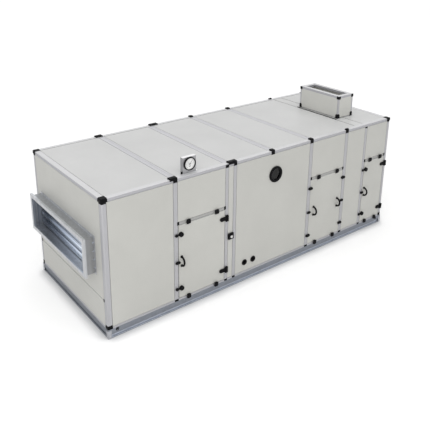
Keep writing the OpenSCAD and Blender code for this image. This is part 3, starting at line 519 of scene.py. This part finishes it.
def piece(name, body, materials, build):
    """A mesh piece on a body, drawn by a function that gets the mesh to fill."""
    mesh = bpy.data.meshes.new(name)
    drawn = bmesh.new()
    build(drawn)
    bmesh.ops.recalc_face_normals(drawn, faces=drawn.faces)
    drawn.to_mesh(mesh)
    drawn.free()
    for material in materials:
        mesh.materials.append(material)
    item = put(name, mesh)
    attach(item, body)


def join(drawn, low, high):
    """Faces between two closed rings of corners."""
    around = range(len(low))
    return [drawn.faces.new((low[i - 1], low[i], high[i], high[i - 1])) for i in around]


def turned(drawn, place, outline, sides=32, index=0, smooth=True, hollow=False):
    """A solid of revolution from (radius, height) pairs round the place's own Z axis.

    A hollow one closes its outline into a ring, and any other has flat ends.
    """
    rings = []
    for radius, height in outline:
        turn = [place @ Vector((radius * MM * cos(2 * pi * i / sides),
                                radius * MM * sin(2 * pi * i / sides), height * MM))
                for i in range(sides)]
        rings.append([drawn.verts.new(point) for point in turn])
    made = []
    if hollow:
        rings.append(rings[0])
    else:
        made = [drawn.faces.new(rings[0][::-1]), drawn.faces.new(rings[-1])]
    for low, high in zip(rings, rings[1:]):
        for side in join(drawn, low, high):
            side.smooth = smooth
            made.append(side)
    for face in made:
        face.material_index = index


def plate(drawn, place, outline, thickness, chamfer, index=0):
    """A flat plate from a closed outline, with a chamfered top edge."""
    middle = Vector((sum(p[0] for p in outline), sum(p[1] for p in outline))) / len(outline)
    levels = []
    for height, inset in ((0, 0), (thickness - chamfer, 0), (thickness, chamfer)):
        ring = []
        for point in outline:
            away = Vector(point) - middle
            kept = middle + away * (1 - inset / max(away.length, inset + LEAST))
            ring.append(drawn.verts.new(place @ Vector((kept.x * MM, kept.y * MM, height * MM))))
        levels.append(ring)
    made = [drawn.faces.new(levels[0][::-1]), drawn.faces.new(levels[-1])]
    for low, high in zip(levels, levels[1:]):
        made += join(drawn, low, high)
    for face in made:
        face.material_index = index


def rectangle(x0, y0, x1, y1):
    return [(x0, y0), (x1, y0), (x1, y1), (x0, y1)]


def facing(at, way):
    """A place whose Z axis looks the given way, with its Y axis up where it can be."""
    z = Vector(way).normalized()
    up = Vector(UP) if abs(z.z) < STEEP else Vector(TO_BACK)
    x = up.cross(z).normalized()
    y = z.cross(x)
    turn = Matrix((x, y, z)).transposed().to_4x4()
    return Matrix.Translation(Vector(at)) @ turn


# The gauge's dial: a white face, a scale, a printed mark, and a needle on its hub

DIAL_IN, DIAL_SIDES = 5.0, 64
DIAL_FACE = [(50.6, 0.0), (50.6, 0.5), (50.2, 0.8)]
SCALE_FROM, SCALE_TO, SCALE_STEPS, LONG_EVERY = -135, 135, 30, 5
# Inner radius and half width of the scale's marks, and the outer radius of all
LONG_MARK, SHORT_MARK, MARK_OUT = (36.0, 0.8), (40.0, 0.4), 45.0
PRINTED_MARK = [(-11, -24), (11, -24), (9, -19), (-9, -19)]
NEEDLE = [(-2.2, -12), (2.2, -12), (1.6, 0), (0.5, 33), (-0.5, 33), (-1.6, 0)]
NEEDLE_TURN, NEEDLE_UP = -40, 1.2
HUB = [(4.6, 0), (4.6, 2.2), (3.8, 2.8), (1.5, 3.1)]
PRINT_UP = 0.75
# Place of the ink among the dial's materials
INKED = 1


def draw_dial(drawn):
    low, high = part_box("gauge")
    front = Vector(((low.x + high.x) / 2, low.y + DIAL_IN * MM, (low.z + high.z) / 2))
    face = facing(front, TO_FRONT)
    turned(drawn, face, DIAL_FACE, sides=DIAL_SIDES)
    printed = face @ Matrix.Translation((0, 0, PRINT_UP * MM))
    for i in range(SCALE_STEPS + 1):
        turn = radians(SCALE_FROM + (SCALE_TO - SCALE_FROM) * i / SCALE_STEPS)
        inner, half = SHORT_MARK if i % LONG_EVERY else LONG_MARK
        plate(drawn, printed @ Matrix.Rotation(-turn, 4, "Z"),
              rectangle(-half, inner, half, MARK_OUT), thickness=0.25, chamfer=0.05, index=INKED)
    plate(drawn, printed, PRINTED_MARK, thickness=0.3, chamfer=0.05, index=INKED)
    above = printed @ Matrix.Translation((0, 0, NEEDLE_UP * MM))
    plate(drawn, above @ Matrix.Rotation(radians(NEEDLE_TURN), 4, "Z"), NEEDLE, thickness=0.8,
          chamfer=0.2, index=INKED)
    turned(drawn, printed, HUB, sides=24, index=INKED)


piece("gauge_dial", "casing", [PALE, INK], draw_dial)

# Bolts of the base frame's corner brackets

BOLT_LEVELS, BOLT_IN = (0.024, 0.056), 0.017
BOLT_HEAD = [(4.0, 1.2), (4.0, 4.2), (3.44, 4.9)]
WASHER = [(5.8, 0), (5.8, 1.0), (5.52, 1.3)]


def hex_bolt(drawn, at, way):
    """A hexagon bolt head on a washer."""
    place = facing(at, way)
    turned(drawn, place, WASHER, sides=24)
    turned(drawn, place, BOLT_HEAD, sides=6, smooth=False)


def draw_bracket_bolts(drawn):
    low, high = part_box("base_corner_brackets")
    for z in BOLT_LEVELS:
        for x in (low.x + BOLT_IN, high.x - BOLT_IN):
            hex_bolt(drawn, (x, low.y, z), TO_FRONT)
            hex_bolt(drawn, (x, high.y, z), TO_BACK)
        for y in (low.y + BOLT_IN, high.y - BOLT_IN):
            hex_bolt(drawn, (low.x, y, z), TO_INLET)
            hex_bolt(drawn, (high.x, y, z), TO_DISCHARGE)


piece("bracket_bolts", "casing", [BRIGHT_ZINC], draw_bracket_bolts)

# Skirts and domed tops of the connectors at the ends of the roof's crossbars, by their spans

CONNECTORS = ((-1.160, -1.085), (-0.525, -0.430), (-0.003, 0.038), (0.525, 0.566))
FRONT_CONNECTOR, BACK_CONNECTOR = (1.057, 1.098), (1.207, 1.248)
SKIRT_H, SKIRT_T, SKIRT_EDGE = 20.0, 4.5, 1.2
COVER_T, COVER_IN, COVER_EDGE = 5.0, 1.0, 2.5
COVER_REACH, SHORT_REACH = 38.0, 18.0


def cover_connector(drawn, span, y, way, reach):
    """A skirt over the rail's face and a domed top over the block on the roof."""
    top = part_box("rail_connectors")[1].z
    x, half = (span[0] + span[1]) / 2, (span[1] - span[0]) / 2 / MM
    skirt = facing((x, y, top - SKIRT_H * MM / 2), way)
    plate(drawn, skirt, rectangle(-half, -SKIRT_H / 2, half, SKIRT_H / 2), SKIRT_T, SKIRT_EDGE)
    cover = Matrix.Translation((x, y - way[1] * reach * MM / 2, top))
    half -= COVER_IN
    plate(drawn, cover, rectangle(-half, -reach / 2, half, reach / 2), COVER_T, COVER_EDGE)


def draw_connector_covers(drawn):
    low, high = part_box("top_rails")
    for span in CONNECTORS:
        cover_connector(drawn, span, low.y, TO_FRONT, COVER_REACH)
        cover_connector(drawn, span, high.y, TO_BACK, COVER_REACH)
    cover_connector(drawn, FRONT_CONNECTOR, low.y, TO_FRONT, SHORT_REACH)
    cover_connector(drawn, BACK_CONNECTOR, high.y, TO_BACK, SHORT_REACH)


piece("connector_covers", "casing", [BLACK], draw_connector_covers)

# Outer shells of the discharge box's corner caps, as width, lowest level and highest level

CAP_SHELLS = ((30.0, 1.510, 1.543), (33.0, 1.2905, 1.330))
SHELL_T, SHELL_EDGE = 2.0, 0.8


def draw_cap_shells(drawn):
    low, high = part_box("discharge_caps")
    for width, z0, z1 in CAP_SHELLS:
        half, h = (width + SHELL_T) / 2, (z1 - z0) / 2 / MM
        outline = rectangle(-half, -h, half, h)
        inward, z = (half - SHELL_T) * MM, (z0 + z1) / 2
        for x, sx in ((low.x, -1), (high.x, 1)):
            for y, sy in ((low.y, -1), (high.y, 1)):
                for at, way in (((x, y - sy * inward, z), (sx, 0, 0)),
                                ((x - sx * inward, y, z), (0, sy, 0))):
                    plate(drawn, facing(at, way), outline, SHELL_T, SHELL_EDGE)


piece("box_cap_shells", "casing", [BLACK], draw_cap_shells)

# Black rings round the lifting holes of the base frame

LIFT_HOLE_IN, LIFT_HOLE_Z = 0.088, 0.070
LIFT_RING = [(12.2, 0), (15.8, 0), (15.6, 1.2), (13.8, 2.0), (12.2, 1.6)]


def draw_lift_rings(drawn):
    low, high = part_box("base_rails")
    for x in (low.x + LIFT_HOLE_IN, high.x - LIFT_HOLE_IN):
        for y, way in ((low.y, TO_FRONT), (high.y, TO_BACK)):
            turned(drawn, facing((x, y, LIFT_HOLE_Z), way), LIFT_RING, hollow=True)


piece("lift_hole_rings", "casing", [RUBBER], draw_lift_rings)

# Black sealant in the roof's joints, along its back rail and by the foot of the discharge box;
# the beads along the rail and by the box's foot are painted shade as well as sealant

ROOF_JOINT_X, ROOF_JOINT_2_X = 1.248, 1.377
# Depth of the beads in the joints, and their gap beside the box
JOINT_SUNK, BOX_GAP = 0.006, 0.002
# Distance of the foot's bead from the joint, and its reach past the box
FOOT_OUT, FOOT_PAST = 0.011, 0.012
# Half width and height of the beads
JOINT_BEAD, FOOT_BEAD, RAIL_BEAD = (3.2, 5.5), (7.0, 4.0), (2.2, 1.0)
BEAD_SECTION = [(-1, 0), (-1, 0.5), (-0.6, 0.9), (0, 1), (0.6, 0.9), (1, 0.5), (1, 0)]


def bead(drawn, start, end, size):
    """A domed bead between two points, with its half width and its height as size."""
    half, height = size
    aside = (Vector(end) - Vector(start)).cross(Vector(UP)).normalized()
    ends = [[drawn.verts.new(Vector(at) + aside * across * half * MM
                             + Vector((0, 0, up * height * MM)))
             for across, up in BEAD_SECTION] for at in (start, end)]
    drawn.faces.new(ends[0])
    drawn.faces.new(ends[1][::-1])
    join(drawn, *ends)


def draw_seals_and_shade_on_roof(drawn):
    low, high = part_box("roof_panels")
    box_low, box_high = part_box("discharge_frame")
    sunk, foot_x = high.z - JOINT_SUNK, ROOF_JOINT_X + FOOT_OUT
    for x, y0, y1 in ((ROOF_JOINT_X, low.y, high.y), (ROOF_JOINT_2_X, low.y, box_low.y - BOX_GAP),
                      (ROOF_JOINT_2_X, box_high.y + BOX_GAP, high.y)):
        bead(drawn, (x, y0, sunk), (x, y1, sunk), JOINT_BEAD)
    # A bead that is also painted shade, where the box's foot lies in shadow
    bead(drawn, (foot_x, box_low.y - FOOT_PAST, high.z), (foot_x, box_high.y + FOOT_PAST, high.z),
         FOOT_BEAD)
    # A bead that is also painted shade on the back rail's far edge
    bead(drawn, (low.x, high.y, high.z), (high.x, high.y, high.z), RAIL_BEAD)


piece("roof_seals_and_shade", "casing", [RUBBER], draw_seals_and_shade_on_roof)

# The stub of the gauge's hose, by the foot of its bracket

STUB_AT = (0.006, 0.010, 0.0015)
STUB = [(9.0, 0), (9.0, 3.0), (6.5, 4.0), (6.5, 13.0), (7.5, 14.0), (7.5, 17.0), (5.0, 18.5)]


def draw_hose_stub(drawn):
    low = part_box("gauge_bracket")[0]
    turned(drawn, facing(low + Vector(STUB_AT), UP), STUB, sides=20)


piece("gauge_hose_stub", "casing", [RUBBER], draw_hose_stub)

# Seals behind the doors, on the lips of the frame

LATCH_GAP, DOOR_GAP, SEAL_GAP = 8.0, 5.0, 5.0
# Distance from the opening's edge and height
SEAL_SECTION = [(2.0, 0.0), (2.0, 2.2), (4.0, 4.2), (6.5, 4.6), (9.0, 4.2), (11.0, 2.2),
                (11.0, 0.0)]


def draw_seal(drawn, door):
    """A ring of soft seal round a door's opening."""
    low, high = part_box(door)
    x0, x1 = low.x - LATCH_GAP * MM, high.x + DOOR_GAP * MM
    z0, z1 = low.z - DOOR_GAP * MM, high.z + DOOR_GAP * MM
    back = high.y + SEAL_GAP * MM
    rings = []
    for x, z, right, up in ((x0, z0, 1, 1), (x1, z0, -1, 1), (x1, z1, -1, -1), (x0, z1, 1, -1)):
        rings.append([drawn.verts.new((x + right * out * MM, back - height * MM,
                                       z + up * out * MM))
                      for out, height in SEAL_SECTION])
    for i, ring in enumerate(rings):
        join(drawn, rings[i - 1], ring)


for number in (1, 3):
    piece("door_%d_seal" % number, "casing", [RUBBER],
          lambda drawn, n=number: draw_seal(drawn, "door_%d_panel" % n))


# Studio

FLOOR_HALF = 60.0
FLOOR_LIFT = 0.22
FLOOR_TONES = (0.955, 0.965)
# Reach of the painted shadow where the base frame meets the floor, its tone there, and the
# openness of the floor at which it starts and ends
CONTACT_REACH = 0.12
CONTACT_TONE = 0.75
CONTACT_SPREAD = (0.5, 0.95)
CONTACT_SAMPLES = 24
SKY_LIGHT = 0.45
SUN_LIGHT = 1.3
SUN_SPREAD = 110.0
SUN_TILT = (12.0, -6.0)
# A wide soft lamp off the corner between the inlet end and the service side
KEY_AT = (-5.0, -5.4, 4.0)
KEY_TO = (-1.0, 0.0, 0.8)
KEY_SIDE = 3.5
KEY_LIGHT = 95.0


def light_world():
    """White behind the object and in reflections, a plain soft light on everything else."""
    world = bpy.data.worlds.new("studio")
    bpy.context.scene.world = world
    world.use_nodes = True
    tree = world.node_tree
    rays = add(tree, "ShaderNodeLightPath")
    seen = rays.outputs["Is Camera Ray"]
    for ray in ("Is Glossy Ray", "Is Transmission Ray"):
        seen = maths(tree, "MAXIMUM", seen, rays.outputs[ray])
    white = add(tree, "ShaderNodeBackground", Color=WHITE, Strength=1.0)
    soft = add(tree, "ShaderNodeBackground", Color=WHITE, Strength=SKY_LIGHT)
    mixed = add(tree, "ShaderNodeMixShader", Fac=seen)
    tree.links.new(soft.outputs[0], mixed.inputs[1])
    tree.links.new(white.outputs[0], mixed.inputs[2])
    tree.links.new(mixed.outputs[0], tree.nodes["World Output"].inputs["Surface"])


def hang_sun():
    data = bpy.data.lights.new("overhead", "SUN")
    data.energy = SUN_LIGHT
    data.angle = radians(SUN_SPREAD)
    sun = put("overhead", data)
    sun.rotation_euler = (radians(SUN_TILT[0]), radians(SUN_TILT[1]), 0)


def hang_key():
    data = bpy.data.lights.new("key", "AREA")
    data.size = KEY_SIDE
    data.energy = KEY_LIGHT
    lamp = put("key", data)
    lamp.matrix_world = facing(KEY_AT, Vector(KEY_AT) - Vector(KEY_TO))


def floor_finish():
    """White, a little brighter to the camera, and with painted shadow where the base frame meets
    it.
    """
    material, tree, shader = start_material("floor_white", Specular_IOR_Level=0.0, Roughness=1.0,
                                            Emission_Color=WHITE)
    speckle = noise(tree, place_in_frame(tree), scale=30.0)
    pale = tones(tree, speckle, *(grey(tone) for tone in FLOOR_TONES))
    nook = add(tree, "ShaderNodeAmbientOcclusion", {"samples": CONTACT_SAMPLES},
               Distance=CONTACT_REACH)
    openness = nook.outputs["AO"]
    painted_contact_shadow = tones(tree, openness, grey(CONTACT_TONE), grey(1.0), CONTACT_SPREAD)
    seen = add(tree, "ShaderNodeLightPath").outputs["Is Camera Ray"]
    # The lift fades by the base frame too, deepening the painted shadow
    lift = maths(tree, "MULTIPLY", between(tree, openness, 0.0, FLOOR_LIFT, CONTACT_SPREAD), seen)
    connect(tree, shader, Base_Color=multiply(tree, pale, painted_contact_shadow), Emission_Strength=lift)
    return material


def lay_floor():
    """A wide pale floor that keeps the shadow."""
    mesh = bpy.data.meshes.new("floor")
    h = FLOOR_HALF
    mesh.from_pydata([(-h, -h, 0), (h, -h, 0), (h, h, 0), (-h, h, 0)], [], [(0, 1, 2, 3)])
    mesh.materials.append(floor_finish())
    floor = put("floor", mesh)


place_camera()
light_world()
hang_sun()
hang_key()
lay_floor()
bpy.context.scene.view_settings.view_transform = "Standard"
